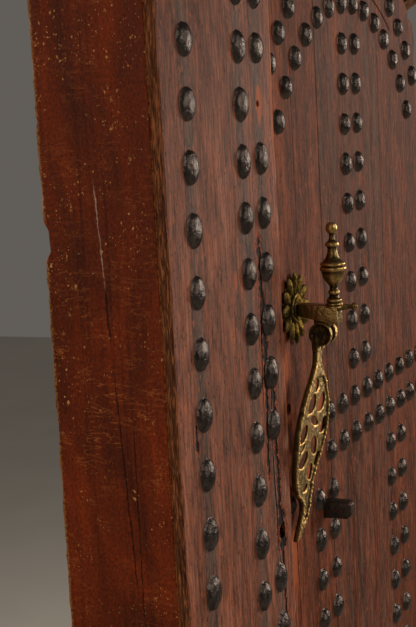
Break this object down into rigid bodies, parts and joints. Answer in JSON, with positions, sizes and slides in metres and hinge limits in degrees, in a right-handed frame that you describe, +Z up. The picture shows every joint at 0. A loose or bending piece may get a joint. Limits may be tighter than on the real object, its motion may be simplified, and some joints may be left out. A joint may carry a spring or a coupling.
{
  "type": "studded plank door",
  "caption": "Arched plank door with domed iron studs, a cast knocker and a square iron peg, hung open on strap hinges in a plain timber frame.",
  "frame": {"origin": "middle of the threshold's underside, on the floor", "axes": "+X across the doorway from the lock side to the hinge side, +Y from the street into the room, +Z up"},
  "size_m": [0.943, 0.882, 1.936],
  "materials": {
    "frame_wood": "aged oiled wood, worn at the arrises",
    "peg_wood": "cleft oak end grain",
    "stile_wood": "old dark red-brown varnish, chipped at the edges",
    "board_wood": "weathered stained planks with open grain",
    "facing_wood": "weathered stained plank, worn and split",
    "backing_wood": "dull oiled wood",
    "stud_iron": "forged, dark, rubbed bright on the domes",
    "hinge_iron": "forged and blackened",
    "peg_iron": "forged, grey at the worn end",
    "knocker_brass": "cast, darkened, bright on the high places",
    "tang_iron": "forged and rusted"
  },
  "bodies": {
    "frame": {"strike_jamb": "frame_wood", "hinge_jamb": "frame_wood", "frame_head": "frame_wood", "threshold": "frame_wood", "frame_pegs": "peg_wood", "pintle_nails": "hinge_iron", "bolt_keeper": "hinge_iron", "keeper_nails": "hinge_iron", "pintle_top": "hinge_iron", "pintle_middle": "hinge_iron", "pintle_bottom": "hinge_iron"},
    "leaf": {"arched_rail": "backing_wood", "band_rail": "backing_wood", "band_studs": "stud_iron", "board_1": "board_wood", "board_2": "board_wood", "board_3": "board_wood", "bolt_staples": "hinge_iron", "bottom_rail": "backing_wood", "centre_muntin": "backing_wood", "centre_studs": "stud_iron", "facing_board": "facing_wood", "foot_studs": "stud_iron", "hinge_stile": "backing_wood", "inner_arc_studs": "stud_iron", "iron_peg": "peg_iron", "knocker_arm": "knocker_brass", "knocker_finial": "knocker_brass", "knocker_nut": "tang_iron", "knocker_pin": "tang_iron", "knocker_plate": "knocker_brass", "knocker_washer": "tang_iron", "left_column_studs": "stud_iron", "lock_stile": "stile_wood", "lower_band_studs": "stud_iron", "lower_centre_studs": "stud_iron", "lower_muntin": "backing_wood", "lower_rail": "backing_wood", "outer_arc_studs": "stud_iron", "peg_washer": "peg_iron", "peg_wedge": "peg_iron", "right_column_studs": "stud_iron", "row_1_studs": "stud_iron", "row_2_studs": "stud_iron", "row_3_studs": "stud_iron", "side_muntin": "backing_wood", "staple_nails": "hinge_iron", "strap_bottom": "hinge_iron", "strap_middle": "hinge_iron", "strap_nails": "hinge_iron", "strap_top": "hinge_iron", "strike_stud": "stud_iron"},
    "hammer": {"knocker_hammer": "knocker_brass"},
    "bolt": {"door_bolt": "hinge_iron"}
  },
  "joints": [
    {"name": "door_swing", "type": "hinge", "parent": "frame", "child": "leaf", "pos_m": [0.3595, 0.092, 0.856], "axis": [0, 0, 1], "range_deg": [-25, 90]},
    {"name": "knocker_swing", "type": "hinge", "parent": "leaf", "child": "hammer", "pos_m": [0.222, 0.53, 1.4073], "axis": [0, 1, 0], "range_deg": [0, 95]},
    {"name": "bolt_slide", "type": "slide", "parent": "leaf", "child": "bolt", "axis": [0, 1, 0], "range_m": [0, 0.065]}
  ]
}
